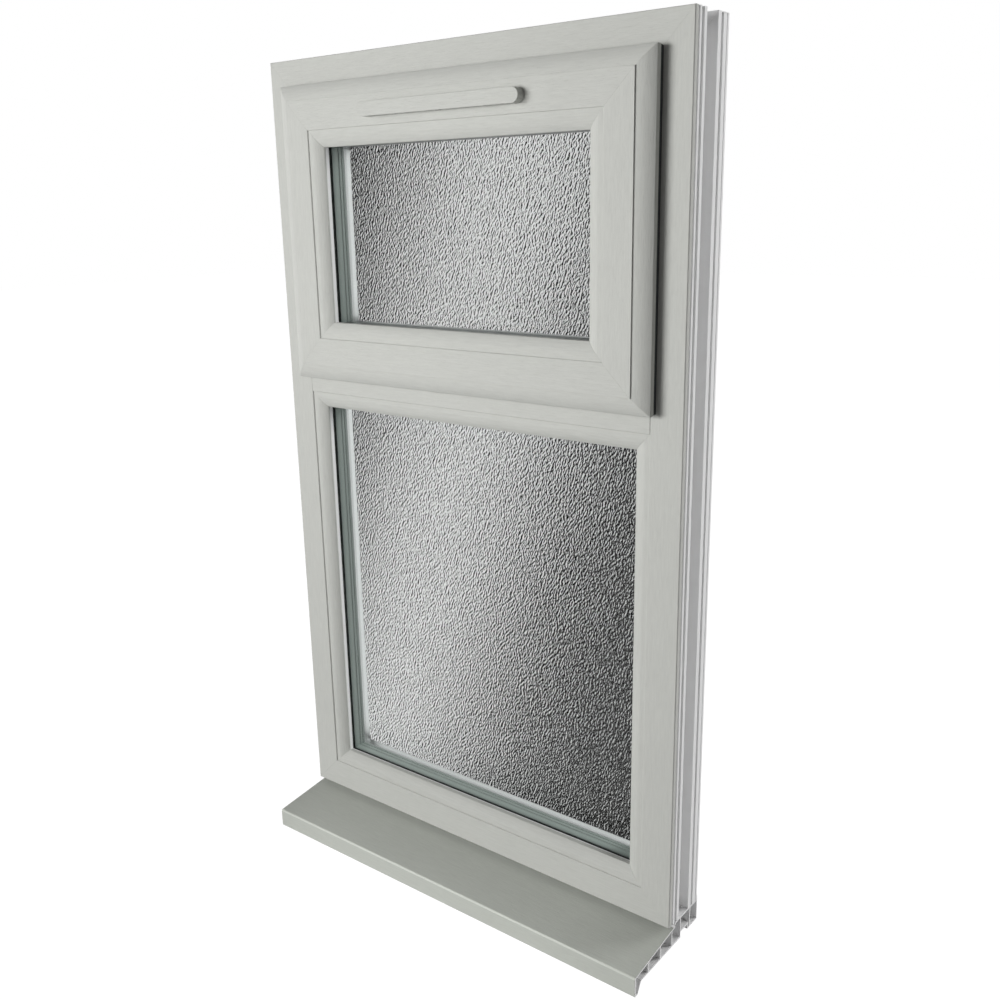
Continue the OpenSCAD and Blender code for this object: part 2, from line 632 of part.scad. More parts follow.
module sash_screws() color(steel) site() {
  for (s = [0, 1], z = bar_screws) mirror([s, 0, 0]) mirror([1, 0, 0])
    translate([-side_x - bar_t, 0, 0]) screw_x(0, z, bar_t);
}

// Lock: keeps on the transom, case and faceplate in the sash groove, toothed rail with cams

keep_screws = [for (s = [-1, 1], e = [-34, 14]) [s * cam_x + e, lock_y]];
module keep(x) {
  difference() {
    union() {
      box(x - 42, x + 22, lock_y - 10, lock_y + 10, tr_top, tr_top + 2);
      box(x - travel - 12, x - 6.5, lock_y - 8.5, lock_y - 5.6, tr_top + 1, tr_top + 9);
    }
    for (e = [-34, 14]) translate([x + e, lock_y, tr_top - 0.01]) cylinder(r1 = 2, r2 = 4, h = 2.02);
  }
}
module lock_keeps() color(stainless) site() {
  keep(-cam_x);
  keep(cam_x);
}

module lock_case() color(stainless) site() {
  difference() {
    union() {
      box(-cam_x - 40, cam_x + 40, groove_lo + 0.2, groove_hi - 0.2, side_bot, side_bot + 3);
      box(-22, 22, groove_lo + 1.8, groove_hi - 1.8, side_bot + 2, spindle_z + 14);
    }
    box(-19.5, 19.5, lock_y - 4.5, lock_y + 4.5, side_bot + 3, spindle_z + 12.4);
    box(-23, 23, lock_y - 4.4, lock_y + 4.4, side_bot + 3, spindle_z - gear_r + 3.4);
    yrod(6 + pin_clear, groove_lo, groove_hi, 0, spindle_z);
    for (s = [-1, 1]) box(s * cam_x - travel - 3.6, s * cam_x + 3.6, lock_y - 3.5, lock_y + 3.5,
                          side_bot - 1, side_bot + 4);
  }
}

module rack_teeth() {
  zp = spindle_z - gear_r;
  for (i = [-1 : 2]) translate([(i + 0.5) * gear_pitch, lock_y + 3.5, 0]) rotate([90, 0, 0])
    linear_extrude(7) polygon([[-1.75, zp - 2.4], [1.75, zp - 2.4], [0.65, zp + 1.2], [-0.65, zp + 1.2]]);
}
module drive_rail() color(steel) site() {
  box(-cam_x - 12, cam_x + 12, lock_y - 4, lock_y + 4, rail_z, rail_z + rail_t);
  box(-0.8 * gear_pitch, 2.9 * gear_pitch, lock_y - 3.5, lock_y + 3.5, rail_z + rail_t - 0.5,
      spindle_z - gear_r - 2.2);
  rack_teeth();
  for (s = [-1, 1]) translate([s * cam_x, lock_y, tr_top + 4.5]) {
    cylinder(r = 3, h = rail_z + 1 - tr_top - 4.5);
    cylinder(r = 4.5, h = 2.5);
  }
}

module gear_spindle() color(steel) site() {
  yrod(gear_r - 2.2, lock_y - 3.5, lock_y + 3.5, 0, spindle_z);
  for (i = [0 : gear_n - 1]) translate([0, lock_y + 3.5, spindle_z]) rotate([90, i * 360 / gear_n, 0])
    linear_extrude(7) polygon([[-1.6, -gear_r + 3], [1.6, -gear_r + 3], [1.5, -gear_r + 1.6],
                               [0.75, -gear_r - 1.3], [-0.75, -gear_r - 1.3], [-1.5, -gear_r + 1.6]]);
  yrod(6, groove_lo + 1.8, groove_hi - 1.8, 0, spindle_z);
  box(-3.5, 3.5, lock_y, base_out + 10, spindle_z - 3.5, spindle_z + 3.5);
}

module handle_base() color(white) site() difference() {
  union() {
    box(-42, 42, sash_rear, base_out, spindle_z - 12, spindle_z + 12);
    for (s = [-1, 1]) yrod(12, sash_rear, base_out, s * 42, spindle_z);
  }
  yrod(8.2, sash_rear - 1, base_out + 1, 0, spindle_z);
}

module handle_lever() color(white) site() difference() {
  union() {
    yrod(8, sash_rear + 2, handle_out, 0, spindle_z);
    translate([0, handle_out, spindle_z]) rotate([90, 0, 0]) linear_extrude(11) {
      polygon([[-8, 0], [8, 0], [7, lever_len - 7], [-7, lever_len - 7]]);
      translate([0, lever_len - 7]) circle(r = 7);
    }
  }
  box(-3.55, 3.55, sash_rear, base_out + 10.3, spindle_z - 3.55, spindle_z + 3.55);
}

// Trickle vent: canopy outside, base and hinged flap inside

module canopy_solid(len, h, y0, y1) {
  r = h / 2;
  box(-len / 2 + r, len / 2 - r, y0, y1, vent_z - r, vent_z + r);
  for (s = [-1, 1]) yrod(r, y0, y1, s * (len / 2 - r), vent_z);
}
module vent_canopy() color(foil) site() difference() {
  canopy_solid(canopy_len, canopy_h, sash_y0 - canopy_d, sash_y0);
  canopy_solid(canopy_len - 4, canopy_h - 4, sash_y0 - canopy_d + 2, sash_y0 + 1);
  for (s = [-1, 1]) box(s > 0 ? 4 : -slot_x + 4, s > 0 ? slot_x - 4 : -4, sash_y0 - canopy_d + 3.5,
                        sash_y0 - 1.5, vent_z - canopy_h, vent_z - canopy_h / 2 + 3);
}
flap_y = sash_rear + 7.4;
flap_z = vent_z - 19;
module vent_base() color(white) site() difference() {
  union() {
    box(-slot_x - 22, slot_x + 22, sash_rear, sash_rear + 3, flap_z - 5, vent_z + 5.6);
    box(-slot_x - 8, slot_x + 8, sash_rear, sash_rear + 5.6, vent_z - 7.5, vent_z + 5.6);
    for (s = [-1, 1]) box(s * (slot_x + 16) - 2.5, s * (slot_x + 16) + 2.5, sash_rear, flap_y + 4,
                          flap_z - 5, flap_z + 5);
  }
  for (s = [-1, 1]) box(s > 0 ? 5 : -slot_x, s > 0 ? slot_x : -5, sash_rear - 1, sash_rear + 8,
                        vent_z - 4.5, vent_z + 4.5);
  xrod(1.6, -slot_x - 30, slot_x + 30, flap_y, flap_z);
}
module vent_flap() color(white) site() {
  box(-slot_x - 12.5, slot_x + 12.5, flap_y - 1.3, flap_y + 1.3, flap_z, vent_z + 5.2);
  xrod(1.5, -slot_x - 18, slot_x + 18, flap_y, flap_z);
  box(-12, 12, flap_y + 1, flap_y + 4.5, vent_z + 2.4, vent_z + 5.2);
}

frame_head();
frame_left_jamb();
frame_right_jamb();
frame_bottom_rail();
transom();
frame_reinforcement();
cill();
lower_outer_pane();
lower_middle_pane();
lower_obscure_pane();
lower_spacers();
lower_edge_seal();
lower_outer_gasket();
lower_inner_gasket();
lower_packers();
lower_bead_top();
lower_bead_bottom();
lower_bead_left();
lower_bead_right();
frame_seal();
stay_track_left();
stay_track_right();
lock_keeps();
frame_screws();
long_arm_left();
long_arm_right();
short_arm_left();
short_arm_right();
stay_links();
stay_sliders();
sash_top_rail();
sash_bottom_rail();
sash_left_stile();
sash_right_stile();
sash_reinforcement();
upper_outer_pane();
upper_middle_pane();
upper_obscure_pane();
upper_spacers();
upper_edge_seal();
upper_outer_gasket();
upper_inner_gasket();
upper_packers();
upper_bead_top();
upper_bead_bottom();
upper_bead_left();
upper_bead_right();
sash_seal();
sash_bar_left();
sash_bar_right();
sash_screws();
vent_canopy();
vent_base();
vent_flap();
lock_case();
drive_rail();
handle_base();
handle_lever();
gear_spindle();
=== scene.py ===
"""Looks of the top-hung window: woodgrain foil, white plastic, glass units, stays, lock, vent and studio."""
import math

import bmesh
import bpy
import numpy as np
from bpy.props import FloatProperty, FloatVectorProperty, IntProperty, PointerProperty
from mathutils import Matrix, Vector


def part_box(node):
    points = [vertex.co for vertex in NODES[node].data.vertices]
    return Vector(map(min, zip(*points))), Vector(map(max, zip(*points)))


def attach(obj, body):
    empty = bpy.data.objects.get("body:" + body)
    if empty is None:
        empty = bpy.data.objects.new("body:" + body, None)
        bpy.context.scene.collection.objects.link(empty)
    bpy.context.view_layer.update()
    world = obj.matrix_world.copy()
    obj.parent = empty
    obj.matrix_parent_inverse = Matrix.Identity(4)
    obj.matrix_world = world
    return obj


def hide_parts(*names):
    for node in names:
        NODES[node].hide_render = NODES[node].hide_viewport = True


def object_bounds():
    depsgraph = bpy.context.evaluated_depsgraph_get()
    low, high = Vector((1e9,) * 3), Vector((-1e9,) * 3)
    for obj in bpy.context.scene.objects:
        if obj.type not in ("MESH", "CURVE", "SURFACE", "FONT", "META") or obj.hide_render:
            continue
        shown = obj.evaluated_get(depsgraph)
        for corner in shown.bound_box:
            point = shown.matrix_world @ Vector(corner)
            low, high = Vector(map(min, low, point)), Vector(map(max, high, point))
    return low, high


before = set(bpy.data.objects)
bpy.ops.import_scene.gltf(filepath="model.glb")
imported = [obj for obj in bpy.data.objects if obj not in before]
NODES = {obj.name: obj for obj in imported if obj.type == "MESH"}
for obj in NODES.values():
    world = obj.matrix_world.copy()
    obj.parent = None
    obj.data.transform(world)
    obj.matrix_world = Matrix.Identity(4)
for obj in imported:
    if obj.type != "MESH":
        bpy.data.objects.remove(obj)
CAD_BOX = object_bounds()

bl_info = {
    "name": "Top-hung window",
    "version": (1, 0, 0),
    "blender": (4, 5, 0),
    "location": "3D View > Sidebar > Window",
    "description": "Finishes, stippled panes and studio for a plastic top-hung window",
    "category": "Object",
}

MM = 0.001
LIGHTS = (("lower", "frame"), ("upper", "sash"))

# Radius at the edges of the foil
FOIL_EDGE = 0.7 * MM
# Foil on the level beads goes further back than on the upright ones
LEVEL_BEAD_WRAP = 4 * MM
# Height of the top of the cill at its front edge, and its rise for each metre to the back
CILL_TOP = 12 * MM
CILL_FALL = 0.135
# Bumps of the obscure panes, whose facets also get painted light and shade: their slant as cosine and sine,
# their width over their length, and their scale
STIPPLE_SLANT = (0.94, 0.34)
STIPPLE_SQUEEZE = 0.56
STIPPLE_SCALE = 420.0
# Painted reflection: a bright band painted over both obscure panes, its middle at one height, its lean and
# its half width
PAINTED_SHEEN_HEIGHT = 0.35
PAINTED_SHEEN_MIDDLE = -0.130
PAINTED_SHEEN_LEAN = 0.323
PAINTED_SHEEN_WIDTH = 0.25
# Painted light and shade of a bump from its dark to its bright facet, inside the painted bright band and far
# from it
GREYS_IN_PAINTED_SHEEN = ((0.0, 12), (0.25, 48), (0.5, 124), (0.75, 202), (1.0, 221))
GREYS_OUT_OF_PAINTED_SHEEN = ((0.0, 20), (0.25, 40), (0.5, 86), (0.75, 138), (1.0, 184))
# Spacer bar from front to back: grooves, levels of its band and of its strip, and where the strip starts
BAR_GROOVES = (0.34, 0.50, 0.65)
BAND_LEVELS = ((0.0, 0.42), (0.08, 0.50), (0.13, 0.58), (0.22, 0.64), (0.30, 0.54), (0.34, 0.42),
               (0.40, 0.60), (0.46, 0.58), (0.50, 0.40), (0.56, 0.54), (0.63, 0.56))
STRIP_LEVELS = ((0.66, 0.80), (0.70, 0.82), (0.75, 0.72), (0.80, 0.92), (0.85, 1.0))
STRIP_START = 0.65
# Painted light and shade on the spacer bars: how much the colour of their faces that look up is scaled, at
# the band and at the strip, and of those that look down
FACING_PAINTED_LIGHT = {"lower": (1.6, 0.9, 1.0), "upper": (0.42, 0.6, 0.3)}


def tone(red, green, blue):
    """Scene-linear colour from its 8-bit display values."""
    linear = []
    for channel in (red, green, blue):
        c = channel / 255
        linear.append(c / 12.92 if c <= 0.04045 else ((c + 0.055) / 1.055) ** 2.4)
    return tuple(linear)


class FoilSettings(bpy.types.PropertyGroup):
    """Outside foil and the white plastic under it."""
    colour: FloatVectorProperty(
        name="Foil colour", description="Colour of the outside foil",
        subtype="COLOR", size=3, min=0, max=1, default=tone(197, 198, 193))
    body: FloatVectorProperty(
        name="Plastic colour", description="Colour of the plastic body and of the inside",
        subtype="COLOR", size=3, min=0, max=1, default=tone(245, 245, 245))
    # The cill's foil is darker than the frame's: partly its own tone, partly painted shade for the cill's dim
    # top
    cill: FloatVectorProperty(
        name="Cill colour", description="Colour of the foil on the cill",
        subtype="COLOR", size=3, min=0, max=1, default=tone(184, 187, 180))
    wrap: FloatProperty(
        name="Foil wrap", description="How far the foil runs round the outer edge of the frame",
        subtype="DISTANCE", unit="LENGTH", min=0, max=0.02, default=5.6 * MM)
    bead_wrap: FloatProperty(
        name="Foil on beads", description="Depth at which the foil of a bead ends, from its flat face",
        subtype="DISTANCE", unit="LENGTH", min=0, max=0.02, default=8.2 * MM)
    grain_length: FloatProperty(
        name="Grain length", description="Usual length of one streak of the woodgrain",
        subtype="DISTANCE", unit="LENGTH", min=0.002, max=0.2, default=24 * MM)
    grain_width: FloatProperty(
        name="Grain width", description="Usual width of one streak of the woodgrain",
        subtype="DISTANCE", unit="LENGTH", min=0.0002, max=0.01, default=1.7 * MM)
    grain_depth: FloatProperty(
        name="Grain depth", description="Depth of the embossed woodgrain",
        subtype="DISTANCE", unit="LENGTH", min=0, max=0.001, default=0.26 * MM)


class GlazingSettings(bpy.types.PropertyGroup):
    """Panes and spacers of the two glass units."""
    size: FloatProperty(
        name="Stipple size", description="Usual half width of the bumps of the obscure panes",
        subtype="DISTANCE", unit="LENGTH", min=0.0005, max=0.01, default=1.5 * MM)
    relief: FloatProperty(
        name="Stipple depth", description="Depth of the bumps of the obscure panes",
        subtype="DISTANCE", unit="LENGTH", min=0, max=0.003, default=0.25 * MM)
    step: FloatProperty(
        name="Mesh step", description="Size of one face of the stippled surface",
        subtype="DISTANCE", unit="LENGTH", min=0.001, max=0.01, default=1.7 * MM)
    seed: IntProperty(
        name="Stipple seed", description="Start value of the pattern of bumps",
        min=0, max=9999, default=17)
    glass: FloatVectorProperty(
        name="Clear glass", description="Tint of the clear panes",
        subtype="COLOR", size=3, min=0, max=1, default=(0.988, 0.992, 0.990))
    bar: FloatProperty(
        name="Bar width", description="Width of the spacer bar, from the edge seal to the sight line",
        subtype="DISTANCE", unit="LENGTH", min=0.004, max=0.012, default=8.5 * MM)
    spacer: FloatVectorProperty(
        name="Spacer band", description="Colour of the front part of the spacer bar",
        subtype="COLOR", size=3, min=0, max=1, default=tone(186, 199, 193))
    strip: FloatVectorProperty(
        name="Spacer strip", description="Colour of the part of the spacer bar next to the obscure pane",
        subtype="COLOR", size=3, min=0, max=1, default=tone(226, 230, 229))


class HardwareSettings(bpy.types.PropertyGroup):
    """Stays, lock, handle, vent and seals."""
    steel: FloatVectorProperty(
        name="Stainless steel", description="Colour of stays, keeps and lock",
        subtype="COLOR", size=3, min=0, max=1, default=tone(196, 196, 194))
    zinc: FloatVectorProperty(
        name="Zinc", description="Colour of plated screws, rail and reinforcement",
        subtype="COLOR", size=3, min=0, max=1, default=tone(178, 182, 186))
    white: FloatVectorProperty(
        name="White fittings", description="Colour of the handle and the inside vent",
        subtype="COLOR", size=3, min=0, max=1, default=tone(232, 232, 230))
    rubber: FloatVectorProperty(
        name="Seals", description="Colour of seals and gaskets",
        subtype="COLOR", size=3, min=0, max=1, default=tone(26, 27, 28))
    black: FloatVectorProperty(
        name="Black plastic", description="Colour of packers and stay sliders",
        subtype="COLOR", size=3, min=0, max=1, default=tone(34, 35, 37))


class StageSettings(bpy.types.PropertyGroup):
    """Light and floor of the studio."""
    key: FloatProperty(
        name="Key lamp", description="Power of the far lamp at the front left",
        subtype="POWER", min=0, max=5000, default=420)
    front: FloatProperty(
        name="Front lamp", description="Power of the near lamp in front of the sash",
        subtype="POWER", min=0, max=200, default=4.3)
    cill: FloatProperty(
        name="Cill light", description="Power of the strip lamp over the cill",
        subtype="POWER", min=0, max=20, default=0.1)
    panes: FloatProperty(
        name="Pane light", description="Light on the stippled panes alone, in watts per square metre",
        min=0, max=20, default=2.62)
    fill: FloatProperty(
        name="Fill lamp", description="Power of the soft lamp at the right, behind the wall line",
        subtype="POWER", min=0, max=2000, default=92)
    ambient: FloatProperty(
        name="Ambient level", description="Even light from all round",
        min=0, max=2, default=0.07)
    shadow: FloatProperty(
        name="Floor shadow", description="Share of the floor's look that keeps the shadow",
        subtype="FACTOR", min=0, max=1, default=0.16)


class WindowSettings(bpy.types.PropertyGroup):
    """All settings of the window."""
    foil: PointerProperty(type=FoilSettings)
    glazing: PointerProperty(type=GlazingSettings)
    hardware: PointerProperty(type=HardwareSettings)
    stage: PointerProperty(type=StageSettings)


class Shade:
    """A socket of a node; arithmetic on single values adds Math nodes."""

    def __init__(self, nodes, socket):
        self.nodes = nodes
        self.socket = socket

    def _math(self, operation, first, second=None, clamp=False):
        inputs = {0: first}
        if second is not None:
            inputs[1] = second
        return self.nodes.add("ShaderNodeMath", {"operation": operation, "use_clamp": clamp}, inputs)

    def __add__(self, other):
        return self._math("ADD", self, other)

    __radd__ = __add__

    def __sub__(self, other):
        return self._math("SUBTRACT", self, other)

    def __rsub__(self, other):
        return self._math("SUBTRACT", other, self)

    def __mul__(self, other):
        return self._math("MULTIPLY", self, other)

    __rmul__ = __mul__

    def __truediv__(self, other):
        return self._math("DIVIDE", self, other)

    def __rtruediv__(self, other):
        return self._math("DIVIDE", other, self)

    def __pow__(self, other):
        return self._math("POWER", self, other)

    def __rpow__(self, other):
        return self._math("POWER", other, self)

    def __neg__(self):
        return self._math("MULTIPLY", self, -1.0)

    def __abs__(self):
        return self._math("ABSOLUTE", self)

    def clamp(self):
        return self._math("ADD", self, 0.0, clamp=True)

    def least(self, other):
        return self._math("MINIMUM", self, other)

    def most(self, other):
        return self._math("MAXIMUM", self, other)

    def step(self, start, end):
        """0 below start, 1 above end, straight between."""
        return ((self - start) / (end - start)).clamp()


class Nodes:
    """The node tree of a material or of the world."""

    def __init__(self, tree):
        self.tree = tree

    def add(self, kind, settings=None, inputs=None, out=0):
        """Adds a node: its settings first, then the values or links of its sockets."""
        node = self.tree.nodes.new(kind)
        for key, value in (settings or {}).items():
            if key == "stops":
                ramp = node.color_ramp.elements
                while len(ramp) < len(value):
                    ramp.new(1.0)
                for element, (place, colour) in zip(ramp, value):
                    element.position = place
                    element.color = (*colour, 1.0)
            else:
                setattr(node, key, value)
        for key, value in (inputs or {}).items():
            if isinstance(value, Shade):
                self.tree.links.new(value.socket, node.inputs[key])
            else:
                node.inputs[key].default_value = value
        return Shade(self, node.outputs[out])

    def rays(self, *kinds):
        """1 for rays of these kinds, 0 for the others."""
        light = self.add("ShaderNodeLightPath").socket.node
        found = Shade(self, light.outputs[kinds[0]])
        for kind in kinds[1:]:
            found = found.most(Shade(self, light.outputs[kind]))
        return found


class Finish(Nodes):
    """One material with its Principled shader."""

    def __init__(self, name, **constants):
        self.material = bpy.data.materials.new(name)
        self.material.use_nodes = True
        super().__init__(self.material.node_tree)
        self.tree.nodes.clear()
        self.output = self.tree.nodes.new("ShaderNodeOutputMaterial")
        self.shader = self.tree.nodes.new("ShaderNodeBsdfPrincipled")
        self.tree.links.new(self.shader.outputs[0], self.output.inputs["Surface"])
        for socket, value in constants.items():
            self.shader.inputs[socket.replace("_", " ")].default_value = value

    def mix_in(self, share, shader):
        """Puts another shader in the place of a share of this one."""
        own = Shade(self, self.shader.outputs[0])
        both = self.add("ShaderNodeMixShader", inputs={0: share, 1: own, 2: shader})
        self.tree.links.new(both.socket, self.output.inputs["Surface"])

    def feed(self, socket, value):
        self.tree.links.new(value.socket, self.shader.inputs[socket])

    def place(self):
        """Place on the part, in the part's own frame."""
        return self.add("ShaderNodeTexCoord", out="Object")

    def normal(self):
        """X, Y and Z of the way that the surface faces, in the part's own frame."""
        return self.split(self.add("ShaderNodeTexCoord", out="Normal"))

    def split(self, vector):
        node = self.add("ShaderNodeSeparateXYZ", inputs={0: vector}).socket.node
        return [Shade(self, socket) for socket in node.outputs]

    def stretch(self, vector, factors):
        return self.add("ShaderNodeVectorMath", {"operation": "MULTIPLY"}, {0: vector, 1: factors})

    def noise(self, vector, scale=1.0, detail=2.0, roughness=0.5, distortion=0.0):
        inputs = {"Vector": vector, "Scale": scale, "Detail": detail, "Roughness": roughness,
                  "Distortion": distortion}
        return self.add("ShaderNodeTexNoise", inputs=inputs)

    def blend(self, factor, first, second, how="MIX"):
        """Mixes two colours; a factor of 1 gives the second, or the full effect of the way of mixing."""
        colours = {0: factor}
        for socket, colour in ((6, first), (7, second)):
            colours[socket] = colour if isinstance(colour, Shade) else (*colour, 1.0)
        return self.add("ShaderNodeMix", {"data_type": "RGBA", "blend_type": how}, colours, out=2)

    def bump(self, height, distance, strength=1.0, edge=0.0):
        """Relief from a height of 0 to 1, with the sharp edges rounded by a radius."""
        inputs = {"Strength": strength, "Distance": distance, "Height": height}
        if edge:
            inputs["Normal"] = self.add("ShaderNodeBevel", {"samples": 6}, {"Radius": edge})
        self.feed("Normal", self.add("ShaderNodeBump", inputs=inputs))


def shaded(colour, factor):
    """A colour made darker or lighter."""
    return tuple(min(1.0, channel * factor) for channel in colour)


def dress(finish, *names):
    """Gives CAD nodes their finish."""
    for name in names:
        slots = NODES[name].data.materials
        slots.clear()
        slots.append(finish.material)


def stand_in(piece, finish, node, body):
    """Puts a piece of its own in the place of a CAD node."""
    piece.data.materials.append(finish.material)
    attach(piece, body)
    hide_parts(node)


def link_mesh(name, mesh):
    """An object for a mesh, in the scene."""
    piece = bpy.data.objects.new(name, mesh)
    bpy.context.scene.collection.objects.link(piece)
    return piece


def settings():
    return bpy.context.scene.top_hung_window


def face_rectangle(*names):
    """Half width, bottom and top of a mitred set of bars, from its CAD nodes."""
    boxes = [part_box(name) for name in names]
    half = max(high.x for low, high in boxes)
    return half, min(low.z for low, high in boxes), max(high.z for low, high in boxes)


def cill_foil(finish, y, z, shape):
    """Where the foil of the cill is bare plastic, and where a highlight is painted along its bend over the
    nose.
    """
    front, foot, fall = shape
    normal_x, _, normal_z = finish.normal()
    depth = y - front
    top = (z - foot - depth * fall).step(-1.2 * MM, -0.8 * MM)
    nose = 1 - depth.step(0.8 * MM, 1.2 * MM)
    # Painted highlight along the bend over the nose
    bend = (1 - depth.step(1.2 * MM, 2.0 * MM)) * (z - foot).step(-2.4 * MM, -1.6 * MM)
    cut_end = abs(normal_x).step(0.8, 0.9)
    below = (-normal_z).step(0.4, 0.5)
    return cut_end.most(below).most(1 - top.most(nose)), bend


def foil_finish(name, along, foil_to, rectangle=None, colour=None, cill=None):
    """Woodgrain foil down to a depth in Y and white plastic behind it; the grain runs along X or Z."""
    foil = settings().foil
    colour = tuple(colour or foil.colour)
    finish = Finish(name, IOR=1.5, Specular_IOR_Level=0.3)
    place = finish.place()
    x, y, z = finish.split(place)
    length, width = 1 / foil.grain_length, 1 / foil.grain_width
    lie = (length, width, width) if along == "X" else (width, width, length)
    fine_lie = tuple(2.9 * way if way == length else 2.3 * way for way in lie)
    streaks = finish.noise(finish.stretch(place, lie), detail=3.0, roughness=0.62, distortion=0.35)
    pores = finish.noise(finish.stretch(place, fine_lie), detail=1.5, roughness=0.5)
    pits = pores.step(0.56, 0.70)
    mottle = finish.noise(place, scale=9.0, detail=2.0)
    tint = (streaks - 0.5) * 1.7 + (mottle - 0.5) * 0.35 - pits * 0.25 + 0.5
    paint = finish.blend(tint.clamp(), shaded(colour, 0.93), shaded(colour, 1.06))
    white = (y - foil_to).step(-0.1 * MM, 0.1 * MM)
    if cill:
        bare, bend = cill_foil(finish, y, z, cill)
        white = white.most(bare)
        # Painted highlight: paler foil along the bend over the cill's nose
        paint = finish.blend(bend, paint, shaded(colour, 1.3))
    cloud = finish.noise(place, scale=60.0, detail=3.0)
    plain = finish.blend(cloud, shaded(foil.body, 0.97), shaded(foil.body, 1.02))
    finish.feed("Base Color", finish.blend(white, paint, plain))
    matt, plain_roughness = 0.46 + (streaks - 0.5) * 0.3, 0.30
    finish.feed("Roughness", matt + white * (plain_roughness - matt))
    height = (streaks * 0.7 - pits * 0.45) * (1 - white) + cloud * 0.12
    if rectangle:
        half, low, high = rectangle
        off_mitre = abs((half - abs(x)) - (z - low).least(high - z))
        weld = 1 - off_mitre.step(0.1 * MM, 0.55 * MM)
        height = height - weld * 0.015
    finish.bump(height, foil.grain_depth, 0.8, FOIL_EDGE)
    return finish


def plastic_finish(name, colour, roughness=0.35, peel=0.03 * MM, edge=0.6 * MM):
    """Moulded plastic or powder coat: even colour, faint clouds and orange peel."""
    finish = Finish(name, IOR=1.5)
    place = finish.place()
    cloud = finish.noise(place, scale=45.0, detail=3.0)
    skin = finish.noise(place, scale=900.0, detail=2.0)
    finish.feed("Base Color", finish.blend(cloud, shaded(colour, 0.94), shaded(colour, 1.04)))
    finish.feed("Roughness", roughness + (skin - 0.5) * 0.16 + (cloud - 0.5) * 0.1)
    finish.bump(skin, peel, 0.7, edge)
    return finish


def steel_finish(name, colour, lie=(900.0, 900.0, 18.0), roughness=0.3):
    """Brushed or plated steel with fine lines along one way."""
    finish = Finish(name, Metallic=1.0)
    place = finish.place()
    lines = finish.noise(finish.stretch(place, lie), detail=3.0, roughness=0.6)
    stain = finish.noise(place, scale=30.0, detail=3.0)
    tint = (lines - 0.5) * 0.7 + (stain - 0.5) * 0.4 + 0.5
    finish.feed("Base Color", finish.blend(tint.clamp(), shaded(colour, 0.82), shaded(colour, 1.08)))
    finish.feed("Roughness", roughness + (lines - 0.5) * 0.25 + (stain - 0.5) * 0.15)
    finish.bump(lines, 0.03 * MM, 0.5, 0.3 * MM)
    return finish


def clear_finish():
    """Clear float glass that lets lamp light through."""
    tint = (*settings().glazing.glass, 1.0)
    finish = Finish("clear_glass", Base_Color=tint, Roughness=0.0, IOR=1.12, Transmission_Weight=1.0)
    through = finish.add("ShaderNodeBsdfTransparent", inputs={"Color": tint})
    finish.mix_in(finish.rays("Is Shadow Ray", "Is Diffuse Ray"), through)
    return finish


def obscure_finish():
    """Stippled glass: the light and shade of each facet of a bump, and a bright band of reflection, are
    painted into its colour.
    """
    finish = Finish("obscure_glass", IOR=1.5, Specular_IOR_Level=0.22)
    x, y, z = finish.split(finish.place())
    painted_facet_shade = finish.add("ShaderNodeAttribute", {"attribute_name": "stipple"}, out="Fac")
    cosine, sine = STIPPLE_SLANT
    across = x * cosine - z * sine
    along = (x * sine + z * cosine) * STIPPLE_SQUEEZE
    heights = []
    for shift in (0.0, 0.8 * MM):
        spot = finish.add("ShaderNodeCombineXYZ", inputs={0: across + shift, 1: y, 2: along})
        heights.append(finish.noise(spot, scale=STIPPLE_SCALE, detail=1.0, roughness=0.5))
    fine, beside = heights
    # Painted reflection: a bright band that leans across both panes
    middle = (z - PAINTED_SHEEN_HEIGHT) * PAINTED_SHEEN_LEAN + PAINTED_SHEEN_MIDDLE
    off = (x - middle) / PAINTED_SHEEN_WIDTH
    painted_sheen = math.e ** (-(off * off))
    # Painted light and shade: each facet is made pale or dark by how it slants, brighter inside the painted
    # band
    turn = painted_facet_shade * 0.02 + (fine - beside) * 8.0 + painted_sheen * 1.14 - 0.22
    ramps = []
    for greys in (GREYS_OUT_OF_PAINTED_SHEEN, GREYS_IN_PAINTED_SHEEN):
        stops = [(spot, tone(grey, grey, grey)) for spot, grey in greys]
        ramps.append(finish.add("ShaderNodeValToRGB", {"stops": stops}, {0: turn.clamp()}))
    finish.feed("Base Color", finish.blend(painted_sheen, *ramps))
    finish.feed("Roughness", 0.16 + fine * 0.2)
    finish.bump(fine, 0.3 * MM, 0.5)
    return finish


